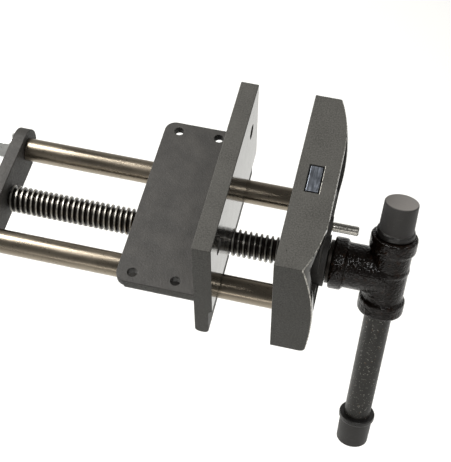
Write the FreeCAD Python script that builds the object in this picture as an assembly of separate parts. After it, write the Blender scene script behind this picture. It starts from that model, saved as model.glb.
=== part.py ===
"""A 7 inch woodworker's bench vise with a pipe-tee handle, as separate sub-parts.

Frame: millimetres, +X out of the bench towards the handle, +Y along the jaws, +Z up.  The origin is
the middle of the rear jaw's top edge, on the face that lies against the bench.
"""
import FreeCAD, Part
import math
import os
from FreeCAD import Vector

# ---- driving dimensions ----
JAW_WIDTH = 178.0          # 7 in, along Y
JAW_GAP = 51.3             # opening between the working faces, at about two thirds of their height down
THREAD_DIA = 25.4          # lead screw, over the thread; 5 turns per inch, single start
ROD_DIA = 22.0
ROD_Y = 53.0               # guide rods, either side of the screw
ROD_Z = -111.0
SCREW_Z = -119.5
RUN_CLEARANCE = 0.06       # radial, between pieces that turn or slide
FIT_CLEARANCE = 0.03       # radial, between pieces that are fixed together
BODY_GAP = 0.3             # between pieces that only come close

# rear jaw and its bracket under the bench
PLATE_T = 12.5
PAD_FACE_X = 16.0
PAD_BOTTOM_Z = -96.0
REAR_BOTTOM_Z = -135.5
REAR_EDGE_R = 5.0
FACE_HOLE_Y = 62.0
FACE_HOLE_Z = -33.0
FACE_HOLE_R = 3.5
FACE_SINK_R = 6.3
BENCH_T = 73.0             # the bracket's top face lies this far below the jaw's top
BRACKET_T = 8.0
BRACKET_X = -70.0
BRACKET_CORNER_R = 10.0
LAG_HOLE_R = 4.25
LAG_HOLE_X = (-56.0, -18.0)
LAG_HOLE_Y = 79.0
GUIDE_R = 18.0
WEB_X0, WEB_X1 = -58.0, -50.0
WEB_T = 8.0

# nut
NUT_BODY_R = 19.0
NUT_FLANGE_R = 30.5
NUT_FLANGE_T = 8.0
NUT_LENGTH = 32.0          # from the web's rear face forward
NUT_BOLT_Y = 24.5
NUT_BOLT_R = 3.0
NUT_BOLT_DEPTH = 12.0      # thread past the web's rear face, into a boss on the web
NUT_BOLT_HEAD_R, NUT_BOLT_HEAD_T = 4.8, 5.0
NUT_BOLT_SOCKET = 5.0      # across flats
NUT_WASHER_R, NUT_WASHER_T = 5.2, 1.2

# front jaw
FRONT_X = PAD_FACE_X + JAW_GAP
FRONT_HEIGHT = 133.0
TOE_IN = 1.7               # the working face leans back this much over its height: the tops meet first
TOE_AT_TOP = 1.1           # of that, the part that lies behind FRONT_X at the top edge
FRONT_DEPTH = 34.0         # at the deepest
TOP_DEPTH = 33.7           # of the top flange, in the middle
FLAT_HALF = 35.0           # half the straight middle stretch of the top edge
DEEPEST_Z = -82.0          # the ends bulge most at this height
UPPER_BULGE_R = 286.0      # of the ends' side profile above and below that height
LOWER_BULGE_R = 460.0
LEAST_SAG = 0.05
FRONT_CORNER_R = 6.0
FRONT_PLATE_T = 11.0
TOP_FLANGE_T = 8.0
SIDE_FLANGE_T = 7.0
POCKET_CORNER_R = 6.0
SCREW_BOSS_R = 24.0
SCREW_BOSS_X = 102.0
ROD_BOSS_R = 18.0
ROD_BOSS_X = 98.0
ROD_PIN_R = 2.5

# dog and its lock
DOG_SLOT_X = (75.6, 88.0)
DOG_SLOT_HALF = 14.0
DOG_SLOT_BOTTOM = -91.0
DOG_X, DOG_Y = 10.4, 26.0
DOG_BOX_HALF = 22.0
DOG_BOX_X = 97.0
LOCK_Z = -63.5
LOCK_R = 4.2
LOCK_END_X = 125.2
LOCK_BOSS_R = 9.0
PRESSURE_PIN_L = 4.0

# lead screw assembly
SHANK_R = 11.0
COLLAR_R = 17.5
COLLAR_T = 9.0
COLLAR_X = FRONT_X + 1.0
COLLAR_PIN_R = 2.5
WASHER_R = 20.0
WASHER_T = 3.0
THREAD_END_X = -200.0
TAIL_R = 7.5
TIE_X0, TIE_X1 = -214.0, -202.0
TIE_HALF = 22.0            # half the tie bar's height
TIE_WASHER_R, TIE_WASHER_T = 14.0, 2.5
TIE_NUT_FLATS, TIE_NUT_T = 24.0, 12.0
TAIL_RING_X = (TIE_X0 - 2.7, TIE_X0 - 1.6)

# pipe tee and handle
TEE_X = 157.0              # where the handle crosses the screw's axis
HANDLE_TILT = 26.0         # degrees from upright, the top leaning to +Y
TEE_FRONT_X = 106.0
SHANK_END_X = TEE_FRONT_X + 30.0
SET_SCREW_X = TEE_FRONT_X + 18.0
SET_SCREW_R = 3.0
BRANCH_BEAD_R, BRANCH_BEAD_L = 24.0, 12.8
BRANCH_R = 21.0
RUN_R = 18.6
RUN_BEAD_R, RUN_BEAD_L = 21.3, 14.5
RUN_HALF = 40.0
RUN_BAND_R = 19.3           # low band cast round the run, just above its middle
RUN_BAND_S = (4.5, 8.5)
BEAD_ROUND_R = 2.0
BUSH_R = 15.5
BUSH_DEPTH = 14.0
TUBE_R = 12.7
TUBE_WALL = 2.6
CAP_END_R, CAP_MOUTH_R = 15.3, 15.9
CAP_LENGTH = 33.5
CAP_END_T = 3.5
CAP_LIP_R = 17.4
CAP_LIP_T = 5.6
CAP_GAP = 0.1              # between a cap's mouth and the tee when they meet
HANDLE_TRAVEL = 124.0

HANDLE_DIR = Vector(0, math.sin(math.radians(HANDLE_TILT)), math.cos(math.radians(HANDLE_TILT)))
TEE_CENTRE = Vector(TEE_X, 0, SCREW_Z)
X_AXIS = Vector(1, 0, 0)
THROUGH = 200.0            # long enough to cut right through any wall


def box(x0, x1, y0, y1, z0, z1):
    """A block between two corners."""
    return Part.makeBox(x1 - x0, y1 - y0, z1 - z0, Vector(x0, y0, z0))


def bar_x(radius, x0, x1, y=0.0, z=SCREW_Z):
    """A round bar along X."""
    return Part.makeCylinder(radius, x1 - x0, Vector(x0, y, z), X_AXIS)


def bar_on_handle(radius, s0, s1):
    """A round bar on the handle's axis, between two distances from the screw's axis."""
    return Part.makeCylinder(radius, s1 - s0, TEE_CENTRE + HANDLE_DIR * s0, HANDLE_DIR)


def ring_x(outer, inner, x0, x1, y=0.0, z=SCREW_Z):
    """A round ring along X."""
    return bar_x(outer, x0, x1, y, z).cut(bar_x(inner, x0 - 1, x1 + 1, y, z))


def hexagon_x(across_flats, x0, x1, y, z):
    """A hexagonal prism along X."""
    radius = across_flats / math.sqrt(3)
    angles = [math.radians(60 * i) for i in range(7)]
    corners = [Vector(x0, y + radius * math.cos(a), z + radius * math.sin(a)) for a in angles]
    return Part.Face(Part.makePolygon(corners)).extrude(Vector(x1 - x0, 0, 0))


def with_fillets(shape, radius, chosen):
    """Rounds the edges that the test picks."""
    edges = [edge for edge in shape.Edges if chosen(edge)]
    return shape.makeFillet(radius, edges)


def rear_profile():
    """The rear jaw's side outline: raised pad above, thinner plate with a rounded foot below."""
    r, bottom = REAR_EDGE_R, REAR_BOTTOM_Z
    diag = r * (1 - math.sqrt(0.5))
    step = PAD_FACE_X - PLATE_T
    edges = [
        Part.makeLine(Vector(0, 0, 0), Vector(PAD_FACE_X, 0, 0)),
        Part.makeLine(Vector(PAD_FACE_X, 0, 0), Vector(PAD_FACE_X, 0, PAD_BOTTOM_Z)),
        Part.makeLine(Vector(PAD_FACE_X, 0, PAD_BOTTOM_Z), Vector(PLATE_T, 0, PAD_BOTTOM_Z - step)),
        Part.makeLine(Vector(PLATE_T, 0, PAD_BOTTOM_Z - step), Vector(PLATE_T, 0, bottom + r)),
        Part.Arc(Vector(PLATE_T, 0, bottom + r), Vector(PLATE_T - diag, 0, bottom + diag),
                 Vector(PLATE_T - r, 0, bottom)).toShape(),
        Part.makeLine(Vector(PLATE_T - r, 0, bottom), Vector(r, 0, bottom)),
        Part.Arc(Vector(r, 0, bottom), Vector(diag, 0, bottom + diag), Vector(0, 0, bottom + r)).toShape(),
        Part.makeLine(Vector(0, 0, bottom + r), Vector(0, 0, 0)),
    ]
    return Part.Wire(edges)


def rear_jaw():
    """Rear jaw, under-bench bracket, rod guides and nut web, cast in one."""
    half = JAW_WIDTH / 2
    plate = Part.Face(rear_profile()).extrude(Vector(0, JAW_WIDTH, 0))
    plate.translate(Vector(0, -half, 0))
    bracket = box(BRACKET_X, PLATE_T / 2, -half, half, -BENCH_T - BRACKET_T, -BENCH_T)
    bracket = with_fillets(bracket, BRACKET_CORNER_R,
                           lambda e: abs(e.tangentAt(0).z) > 0.9 and e.CenterOfMass.x < BRACKET_X + 1)
    cast = plate.fuse(bracket)
    inside_bracket = -BENCH_T - BRACKET_T / 2
    for y in (-ROD_Y, ROD_Y):
        cast = cast.fuse(bar_x(GUIDE_R, BRACKET_X, PLATE_T / 2, y, ROD_Z))
        cast = cast.fuse(box(BRACKET_X, PLATE_T / 2, y - WEB_T / 2, y + WEB_T / 2, ROD_Z, inside_bracket))
    web = box(WEB_X0, WEB_X1, -ROD_Y, ROD_Y, SCREW_Z - 8, inside_bracket)
    cast = cast.fuse(web).fuse(bar_x(NUT_FLANGE_R + 3, WEB_X0, WEB_X1))
    for y in (-NUT_BOLT_Y, NUT_BOLT_Y):
        cast = cast.fuse(bar_x(2.4 * NUT_BOLT_R, WEB_X1, WEB_X0 + NUT_BOLT_DEPTH + 3, y))
    for y in (-ROD_Y, ROD_Y):
        cast = cast.cut(bar_x(ROD_DIA / 2 + RUN_CLEARANCE, BRACKET_X - 1, PLATE_T + 1, y, ROD_Z))
    cast = cast.cut(bar_x(NUT_BODY_R + FIT_CLEARANCE, WEB_X0 - 1, WEB_X1 + 20))
    cast = cast.cut(bar_x(THREAD_DIA / 2 + 2, -5, PLATE_T + 1))
    for y in (-NUT_BOLT_Y, NUT_BOLT_Y):
        cast = cast.cut(bar_x(NUT_BOLT_R + FIT_CLEARANCE, WEB_X0 - 1, WEB_X0 + NUT_BOLT_DEPTH + 1, y))
    sink_depth = FACE_SINK_R - FACE_HOLE_R
    for y in (-FACE_HOLE_Y, FACE_HOLE_Y):
        cast = cast.cut(bar_x(FACE_HOLE_R, -1, PAD_FACE_X + 1, y, FACE_HOLE_Z))
        cast = cast.cut(Part.makeCone(FACE_HOLE_R, FACE_SINK_R, sink_depth,
                                      Vector(PAD_FACE_X - sink_depth, y, FACE_HOLE_Z), X_AXIS))
    below = -BENCH_T - 2 * BRACKET_T
    for x in LAG_HOLE_X:
        for y in (-LAG_HOLE_Y, LAG_HOLE_Y):
            cast = cast.cut(Part.makeCylinder(LAG_HOLE_R, 3 * BRACKET_T, Vector(x, y, below)))
    return cast.removeSplitter()


def screw_nut():
    """Flanged bronze nut behind the web; its thread is a plain bore just over the screw's outer diameter."""
    nut = bar_x(NUT_FLANGE_R, WEB_X0 - NUT_FLANGE_T, WEB_X0)
    nut = nut.fuse(bar_x(NUT_BODY_R, WEB_X0, WEB_X0 + NUT_LENGTH))
    nut = nut.cut(bar_x(THREAD_DIA / 2 + RUN_CLEARANCE, WEB_X0 - 20, WEB_X0 + 50))
    for y in (-NUT_BOLT_Y, NUT_BOLT_Y):
        nut = nut.cut(bar_x(NUT_BOLT_R + 0.25, WEB_X0 - 20, WEB_X0 + 1, y))
    return nut


def nut_washers():
    """Plain washers under the nut's bolts."""
    back = WEB_X0 - NUT_FLANGE_T
    washers = [ring_x(NUT_WASHER_R, NUT_BOLT_R + 0.2, back - NUT_WASHER_T, back, y)
               for y in (-NUT_BOLT_Y, NUT_BOLT_Y)]
    return Part.makeCompound(washers)


def nut_bolts():
    """Socket head screws that hold the nut on the web."""
    seat = WEB_X0 - NUT_FLANGE_T - NUT_WASHER_T
    top = seat - NUT_BOLT_HEAD_T
    bolts = []
    for y in (-NUT_BOLT_Y, NUT_BOLT_Y):
        bolt = bar_x(NUT_BOLT_R, seat, WEB_X0 + NUT_BOLT_DEPTH, y).fuse(bar_x(NUT_BOLT_HEAD_R, top, seat, y))
        bolts.append(bolt.cut(hexagon_x(NUT_BOLT_SOCKET, top - 1, top + 3, y, SCREW_Z)))
    return Part.makeCompound(bolts)


def front_end_depth(z):
    """Depth of the front jaw's ends at a height."""
    radius = UPPER_BULGE_R if z > DEEPEST_Z else LOWER_BULGE_R
    return FRONT_DEPTH - radius + math.sqrt(radius ** 2 - (z - DEEPEST_Z) ** 2)


def front_section(z):
    """Plan outline of the front jaw at a height: straight in the middle, swept back in arcs to the ends."""
    face = FRONT_X - TOE_AT_TOP - TOE_IN * z / FRONT_HEIGHT
    end = front_end_depth(z)
    middle = max(end + LEAST_SAG, TOP_DEPTH) if z > DEEPEST_Z else end + LEAST_SAG
    run, sag = JAW_WIDTH / 2 - FLAT_HALF, middle - end
    radius = (run ** 2 + sag ** 2) / (2 * sag)
    half_turn = math.asin(run / radius) / 2
    arc_x = FRONT_X + middle - radius * (1 - math.cos(half_turn))
    arc_y = FLAT_HALF + radius * math.sin(half_turn)
    half, x_end, x_mid = JAW_WIDTH / 2, FRONT_X + end, FRONT_X + middle
    edges = [
        Part.makeLine(Vector(face, -half, z), Vector(x_end, -half, z)),
        Part.Arc(Vector(x_end, -half, z), Vector(arc_x, -arc_y, z), Vector(x_mid, -FLAT_HALF, z)).toShape(),
        Part.makeLine(Vector(x_mid, -FLAT_HALF, z), Vector(x_mid, FLAT_HALF, z)),
        Part.Arc(Vector(x_mid, FLAT_HALF, z), Vector(arc_x, arc_y, z), Vector(x_end, half, z)).toShape(),
        Part.makeLine(Vector(x_end, half, z), Vector(face, half, z)),
        Part.makeLine(Vector(face, half, z), Vector(face, -half, z)),
    ]
    return Part.Wire(edges)


def front_envelope():
    """The front jaw's outside shape, with its rounded lower front corner."""
    levels = [0, -20, -40, -60, DEEPEST_Z, -105, -FRONT_HEIGHT]
    body = Part.makeLoft([front_section(z) for z in levels], True, False)
    r, bottom = FRONT_CORNER_R, -FRONT_HEIGHT
    face_x = FRONT_X + front_end_depth(bottom + r)
    diag = r * math.sqrt(0.5)
    start, stop = Vector(face_x, -THROUGH, bottom + r), Vector(face_x - r, -THROUGH, bottom)
    middle = Vector(face_x - r + diag, -THROUGH, bottom + r - diag)
    corner = Vector(face_x + 20, -THROUGH, bottom - 20)
    outline = [Part.Arc(start, middle, stop).toShape(),
               Part.makeLine(stop, Vector(face_x - r, -THROUGH, bottom - 20)),
               Part.makeLine(Vector(face_x - r, -THROUGH, bottom - 20), corner),
               Part.makeLine(corner, Vector(face_x + 20, -THROUGH, bottom + r)),
               Part.makeLine(Vector(face_x + 20, -THROUGH, bottom + r), start)]
    return body.cut(Part.Face(Part.Wire(outline)).extrude(Vector(0, 2 * THROUGH, 0)))


def front_jaw():
    """Front jaw casting: plate with a rim, dog box, and bosses for the screw and the rods."""
    half, back = JAW_WIDTH / 2, FRONT_X + FRONT_PLATE_T
    pocket = box(back, back + 60, -half + SIDE_FLANGE_T, half - SIDE_FLANGE_T,
                 -FRONT_HEIGHT + SIDE_FLANGE_T, -TOP_FLANGE_T)
    pocket = with_fillets(pocket, POCKET_CORNER_R, lambda e: abs(e.tangentAt(0).x) > 0.9)
    cast = front_envelope().cut(pocket)
    cast = cast.fuse(box(FRONT_X + 1, DOG_BOX_X, -DOG_BOX_HALF, DOG_BOX_HALF, SCREW_Z, -TOP_FLANGE_T / 2))
    cast = cast.fuse(bar_x(LOCK_BOSS_R, DOG_BOX_X - 5, SCREW_BOSS_X, 0, LOCK_Z))
    cast = cast.fuse(bar_x(SCREW_BOSS_R, FRONT_X + 1, SCREW_BOSS_X))
    for y in (-ROD_Y, ROD_Y):
        cast = cast.fuse(bar_x(ROD_BOSS_R, FRONT_X + 1, ROD_BOSS_X, y, ROD_Z))
    cast = cast.cut(box(*DOG_SLOT_X, -DOG_SLOT_HALF, DOG_SLOT_HALF, DOG_SLOT_BOTTOM, 1))
    cast = cast.cut(bar_x(LOCK_R + RUN_CLEARANCE, DOG_SLOT_X[1] - 1, SCREW_BOSS_X + 1, 0, LOCK_Z))
    cast = cast.cut(bar_x(SHANK_R + RUN_CLEARANCE, FRONT_X - 1, SCREW_BOSS_X + 1))
    cast = cast.cut(bar_x(COLLAR_R + 1, FRONT_X - 2, FRONT_X + COLLAR_T + 1.5))
    for y in (-ROD_Y, ROD_Y):
        cast = cast.cut(bar_x(ROD_DIA / 2 + FIT_CLEARANCE, FRONT_X - 2, ROD_BOSS_X + 1, y, ROD_Z))
        cast = cast.cut(rod_pin(y, ROD_PIN_R + FIT_CLEARANCE, 2.0))
    return cast.removeSplitter()


def rod_pin(y, radius, extra):
    """The pin up through a rod's boss, from the jaw's bottom edge."""
    bottom = -FRONT_HEIGHT + 1 - extra
    return Part.makeCylinder(radius, ROD_Z + 14 + extra - bottom, Vector(FRONT_X + 20, y, bottom))


def rod_lock_pins():
    """Grooved pins that lock the rods in the front jaw."""
    return Part.makeCompound([rod_pin(y, ROD_PIN_R, 0) for y in (-ROD_Y, ROD_Y)])


def guide_rod(y):
    """Guide rod with a threaded stud at the rear for the tie bar."""
    stud_end = TIE_X0 - 18
    rod = bar_x(ROD_DIA / 2, TIE_X1, ROD_BOSS_X - 1, y, ROD_Z).fuse(bar_x(TAIL_R, stud_end, TIE_X1, y, ROD_Z))
    edges = [e for e in rod.Edges
             if e.Length > 2 * TAIL_R and len(e.Vertexes) == 1 and e.CenterOfMass.x < TIE_X0]
    return rod.makeChamfer(1.2, edges).cut(rod_pin(y, ROD_PIN_R + FIT_CLEARANCE, 2.0))


def rear_tie_bar():
    """Plate that joins the rods' rear ends and steadies the screw's tail."""
    mid_z = (ROD_Z + SCREW_Z) / 2
    plate = box(TIE_X0, TIE_X1, -ROD_Y, ROD_Y, mid_z - TIE_HALF, mid_z + TIE_HALF)
    for y in (-ROD_Y, ROD_Y):
        plate = plate.fuse(bar_x(TIE_HALF, TIE_X0, TIE_X1, y, mid_z))
    for y in (-ROD_Y, ROD_Y):
        plate = plate.cut(bar_x(TAIL_R + FIT_CLEARANCE, TIE_X0 - 1, TIE_X1 + 1, y, ROD_Z))
    return plate.cut(bar_x(TAIL_R + RUN_CLEARANCE, TIE_X0 - 1, TIE_X1 + 1)).removeSplitter()


def tie_washers():
    """Plain washers under the rod nuts."""
    washers = [ring_x(TIE_WASHER_R, TAIL_R + 0.3, TIE_X0 - TIE_WASHER_T, TIE_X0, y, ROD_Z)
               for y in (-ROD_Y, ROD_Y)]
    return Part.makeCompound(washers)


def tie_nuts():
    """Hexagon nuts on the rods' rear studs."""
    seat = TIE_X0 - TIE_WASHER_T
    outer_r = TIE_NUT_FLATS / 2 - 0.1
    nuts = []
    for y in (-ROD_Y, ROD_Y):
        nut = hexagon_x(TIE_NUT_FLATS, seat - TIE_NUT_T, seat, y, ROD_Z)
        dome = Part.makeCone(outer_r, outer_r + 10, 10.0, Vector(seat - TIE_NUT_T, y, ROD_Z), X_AXIS)
        dome = dome.fuse(bar_x(outer_r + 10, seat - 2, seat, y, ROD_Z))
        nuts.append(nut.common(dome).cut(bar_x(TAIL_R + FIT_CLEARANCE, seat - 20, seat + 1, y, ROD_Z)))
    return Part.makeCompound(nuts)


def lead_screw():
    """Lead screw; its thread is a plain cylinder over the crests."""
    shoulder = FRONT_X + 0.8
    screw = bar_x(THREAD_DIA / 2, THREAD_END_X, shoulder).fuse(bar_x(SHANK_R, shoulder, SHANK_END_X))
    screw = screw.fuse(bar_x(TAIL_R, TIE_X0 - 8, THREAD_END_X))
    groove = ring_x(TAIL_R + 1, TAIL_R - 1, TAIL_RING_X[0] - 0.3, TAIL_RING_X[1] + 0.1)
    flat = set_screw_bar(SET_SCREW_R + 1, SHANK_R - 1, SHANK_R + 19)
    return screw.cut(groove).cut(collar_pin_bar(COLLAR_PIN_R + FIT_CLEARANCE, 0)).cut(flat)


def collar_pin_bar(radius, shorter):
    """The bar that pins the thrust collar to the screw, upright through both."""
    length = 2 * (COLLAR_R - shorter)
    return Part.makeCylinder(radius, length, Vector(COLLAR_X + COLLAR_T / 2, 0, SCREW_Z - length / 2))


def thrust_collar():
    """Collar in the front jaw's inner counterbore; it pushes the jaw open."""
    collar = ring_x(COLLAR_R, SHANK_R + FIT_CLEARANCE, COLLAR_X, COLLAR_X + COLLAR_T)
    return collar.cut(collar_pin_bar(COLLAR_PIN_R + FIT_CLEARANCE, -1))


def collar_pin():
    """Pin through the collar and the screw."""
    return collar_pin_bar(COLLAR_PIN_R, 0.5)


def thrust_washer():
    """Washer between the front jaw's boss and the tee; the screw pulls the jaw closed through it."""
    x0 = TEE_FRONT_X - 0.2 - WASHER_T
    return ring_x(WASHER_R, SHANK_R + FIT_CLEARANCE, x0, x0 + WASHER_T)


def screw_tail_ring():
    """Retaining ring on the screw's tail behind the tie bar."""
    ring = ring_x(TAIL_R + 3.5, TAIL_R - 1 + FIT_CLEARANCE, *TAIL_RING_X)
    return ring.cut(box(TIE_X0 - 4, TIE_X0, -2.0, 2.0, SCREW_Z - THROUGH, SCREW_Z))


def set_screw_dir():
    """Outward direction of the tee's set screw: square to the handle, on its low side."""
    return Vector(0, HANDLE_DIR.z, -HANDLE_DIR.y)


def tee_hub():
    """Malleable iron pipe tee: branch on the screw, run bored out for the handle's bushes."""
    branch = bar_x(BRANCH_R, TEE_FRONT_X, TEE_X)
    bead = bar_x(BRANCH_BEAD_R, TEE_FRONT_X, TEE_FRONT_X + BRANCH_BEAD_L)
    tee = branch.fuse(with_fillets(bead, BEAD_ROUND_R, lambda e: len(e.Vertexes) == 1))
    tee = tee.fuse(bar_on_handle(RUN_R, -RUN_HALF + 1, RUN_HALF - 1))
    tee = tee.fuse(bar_on_handle(RUN_BAND_R, *RUN_BAND_S))
    for side in (-1, 1):
        bead = bar_on_handle(RUN_BEAD_R, *sorted((side * RUN_HALF, side * (RUN_HALF - RUN_BEAD_L))))
        tee = tee.fuse(with_fillets(bead, BEAD_ROUND_R, lambda e: len(e.Vertexes) == 1))
    tee = tee.cut(bar_x(SHANK_R + FIT_CLEARANCE, TEE_FRONT_X - 1, SHANK_END_X + 0.5))
    tee = tee.cut(bar_on_handle(TUBE_R + 1.0, -THROUGH, THROUGH))
    for side in (-1, 1):
        ends = sorted((side * (RUN_HALF + 1), side * (RUN_HALF - BUSH_DEPTH)))
        tee = tee.cut(bar_on_handle(BUSH_R + FIT_CLEARANCE, *ends))
    return tee.cut(set_screw_bar(SET_SCREW_R + FIT_CLEARANCE, SHANK_R - 2, BRANCH_R + 5))


def set_screw_bar(radius, start, stop):
    """A bar on the set screw's axis between two distances from the lead screw's axis."""
    base = Vector(SET_SCREW_X, 0, SCREW_Z)
    return Part.makeCylinder(radius, stop - start, base + set_screw_dir() * start, set_screw_dir())


def hub_set_screw():
    """Socket set screw that locks the tee on the lead screw."""
    socket = set_screw_bar(SET_SCREW_R / 2, BRANCH_R - 4, BRANCH_R + 1)
    return set_screw_bar(SET_SCREW_R, SHANK_R - 0.9, BRANCH_R - 1).cut(socket)


def handle_bush(side):
    """Plain bush, flush in one end of the tee's run."""
    body = bar_on_handle(BUSH_R, *sorted((side * RUN_HALF, side * (RUN_HALF - BUSH_DEPTH))))
    return body.cut(bar_on_handle(TUBE_R + RUN_CLEARANCE, -THROUGH, THROUGH))


def position_on_handle(edge):
    """How far along the handle from the screw's axis an edge's middle is."""
    return (edge.CenterOfMass - TEE_CENTRE).dot(HANDLE_DIR)


UPPER_CAP_S = RUN_HALF + CAP_GAP
LOWER_CAP_S = -UPPER_CAP_S - HANDLE_TRAVEL


def handle_bar():
    """Steel tube that slides through the tee."""
    s0, s1 = LOWER_CAP_S - CAP_LENGTH + CAP_END_T, UPPER_CAP_S + CAP_LENGTH - CAP_END_T
    return bar_on_handle(TUBE_R, s0, s1).cut(bar_on_handle(TUBE_R - TUBE_WALL, s0 - 1, s1 + 1))


def handle_cap(mouth_s, side):
    """Closed cap over one end of the bar, slightly wider at its mouth, with a rolled lip there."""
    mouth, outward = TEE_CENTRE + HANDLE_DIR * mouth_s, HANDLE_DIR * side
    end_s = mouth_s + side * CAP_LENGTH
    cup = Part.makeCone(CAP_MOUTH_R, CAP_END_R, CAP_LENGTH, mouth, outward)
    cup = with_fillets(cup, 0.9, lambda e: abs(position_on_handle(e) - end_s) < 0.01)
    lip = Part.makeCylinder(CAP_LIP_R, CAP_LIP_T, mouth, outward)
    cup = cup.fuse(with_fillets(lip, 1.5, lambda e: len(e.Vertexes) == 1))
    return cup.cut(bar_on_handle(TUBE_R + FIT_CLEARANCE, *sorted((mouth_s - side, end_s - side * CAP_END_T))))


def dog():
    """Steel bench dog that slides up in the front jaw."""
    mid_x = sum(DOG_SLOT_X) / 2
    bar = box(mid_x - DOG_X / 2, mid_x + DOG_X / 2, -DOG_Y / 2, DOG_Y / 2, DOG_SLOT_BOTTOM + BODY_GAP, 0)
    return bar.makeChamfer(0.4, [e for e in bar.Edges if abs(e.CenterOfMass.z) < 0.01])


def dog_pressure_pin():
    """Pin between the thumb screw and the dog, so that the turning screw doesn't score the dog."""
    x0 = sum(DOG_SLOT_X) / 2 + DOG_X / 2 + BODY_GAP
    return bar_x(LOCK_R - 0.1, x0, x0 + PRESSURE_PIN_L, 0, LOCK_Z)


def dog_lock_screw():
    """Thumb screw with a long knurled head."""
    x0 = sum(DOG_SLOT_X) / 2 + DOG_X / 2 + BODY_GAP + PRESSURE_PIN_L + 0.05
    screw = bar_x(LOCK_R, x0, LOCK_END_X, 0, LOCK_Z)
    end = [e for e in screw.Edges if abs(e.CenterOfMass.x - LOCK_END_X) < 0.01]
    return screw.makeChamfer(0.6, end)


PIECES = {
    "rear_jaw": rear_jaw,
    "screw_nut": screw_nut,
    "nut_washers": nut_washers,
    "nut_bolts": nut_bolts,
    "front_jaw": front_jaw,
    "guide_rod_near": lambda: guide_rod(-ROD_Y),
    "guide_rod_far": lambda: guide_rod(ROD_Y),
    "rod_lock_pins": rod_lock_pins,
    "rear_tie_bar": rear_tie_bar,
    "tie_washers": tie_washers,
    "tie_nuts": tie_nuts,
    "lead_screw": lead_screw,
    "thrust_washer": thrust_washer,
    "thrust_collar": thrust_collar,
    "collar_pin": collar_pin,
    "screw_tail_ring": screw_tail_ring,
    "tee_hub": tee_hub,
    "hub_set_screw": hub_set_screw,
    "upper_handle_bush": lambda: handle_bush(1),
    "lower_handle_bush": lambda: handle_bush(-1),
    "handle_bar": handle_bar,
    "upper_handle_cap": lambda: handle_cap(UPPER_CAP_S, 1),
    "lower_handle_cap": lambda: handle_cap(LOWER_CAP_S, -1),
    "dog": dog,
    "dog_pressure_pin": dog_pressure_pin,
    "dog_lock_screw": dog_lock_screw,
}

os.makedirs("parts", exist_ok=True)
for node, make in PIECES.items():
    shape = make()
    shape.exportStep(f"parts/{node}.step")
    kinds = [solid.isValid() for solid in shape.Solids]
    print(f"{node:20s} solids {len(kinds)} valid {all(kinds)} volume {shape.Volume:12.1f}")
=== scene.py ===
"""Woodworker's bench vise: the finished shape and finish of every piece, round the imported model."""
import math

import bmesh
import bpy
from bpy.props import FloatProperty, FloatVectorProperty, IntProperty, PointerProperty
from mathutils import Matrix, Vector


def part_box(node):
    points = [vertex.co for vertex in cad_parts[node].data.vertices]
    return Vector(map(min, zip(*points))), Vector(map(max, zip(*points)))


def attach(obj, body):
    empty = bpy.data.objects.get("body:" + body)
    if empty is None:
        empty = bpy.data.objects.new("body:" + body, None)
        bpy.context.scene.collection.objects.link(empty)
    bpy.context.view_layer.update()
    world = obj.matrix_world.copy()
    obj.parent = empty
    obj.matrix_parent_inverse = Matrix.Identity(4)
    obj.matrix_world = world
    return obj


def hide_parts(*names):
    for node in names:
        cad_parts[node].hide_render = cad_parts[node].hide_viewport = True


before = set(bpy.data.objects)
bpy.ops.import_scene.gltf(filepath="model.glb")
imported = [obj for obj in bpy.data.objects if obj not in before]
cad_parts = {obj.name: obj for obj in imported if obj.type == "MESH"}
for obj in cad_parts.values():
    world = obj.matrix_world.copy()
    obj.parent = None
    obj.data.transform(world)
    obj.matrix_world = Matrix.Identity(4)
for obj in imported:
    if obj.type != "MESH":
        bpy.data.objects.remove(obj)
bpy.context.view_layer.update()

bl_info = {
    "name": "Bench Vise",
    "version": (1, 0, 0),
    "blender": (4, 5, 0),
    "location": "3D View > Sidebar > Bench Vise",
    "description": "Builds a woodworker's bench vise with its castings, screw, rods, dog and pipe-tee handle",
    "category": "Add Mesh",
}

MM = 0.001
X_AXIS = Vector((1, 0, 0))
CARRIAGE = "front_jaw_carriage"
SHANK_RADIUS = 11.0 * MM
STUD_RADIUS = 7.5 * MM
TUBE_RADIUS, TUBE_BORE = 12.7 * MM, 10.1 * MM


# ---- where the pieces lie, from the frame ----

def middle(node):
    """The middle of a CAD node's box."""
    low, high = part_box(node)
    return (low + high) / 2


def along_x(node):
    """A CAD node's lowest and highest X."""
    low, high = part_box(node)
    return low.x, high.x


def half_height(node):
    """Half a CAD node's height: the radius of a bar along X."""
    low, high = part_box(node)
    return (high.z - low.z) / 2


SCREW_LINE = Vector((0, 0, middle("lead_screw").z))
HANDLE_DIR = (middle("upper_handle_bush") - middle("lower_handle_bush")).normalized()
TEE_CENTRE = (middle("upper_handle_bush") + middle("lower_handle_bush")) / 2
FRONT_BOSS_X = along_x("front_jaw")[1]


def linear(hex_colour):
    """An sRGB hex colour as linear red, green and blue."""
    parts = [int(hex_colour[i:i + 2], 16) / 255 for i in (0, 2, 4)]
    return tuple(c / 12.92 if c <= 0.04045 else ((c + 0.055) / 1.055) ** 2.4 for c in parts)


# ---- what a user would change ----

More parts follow.
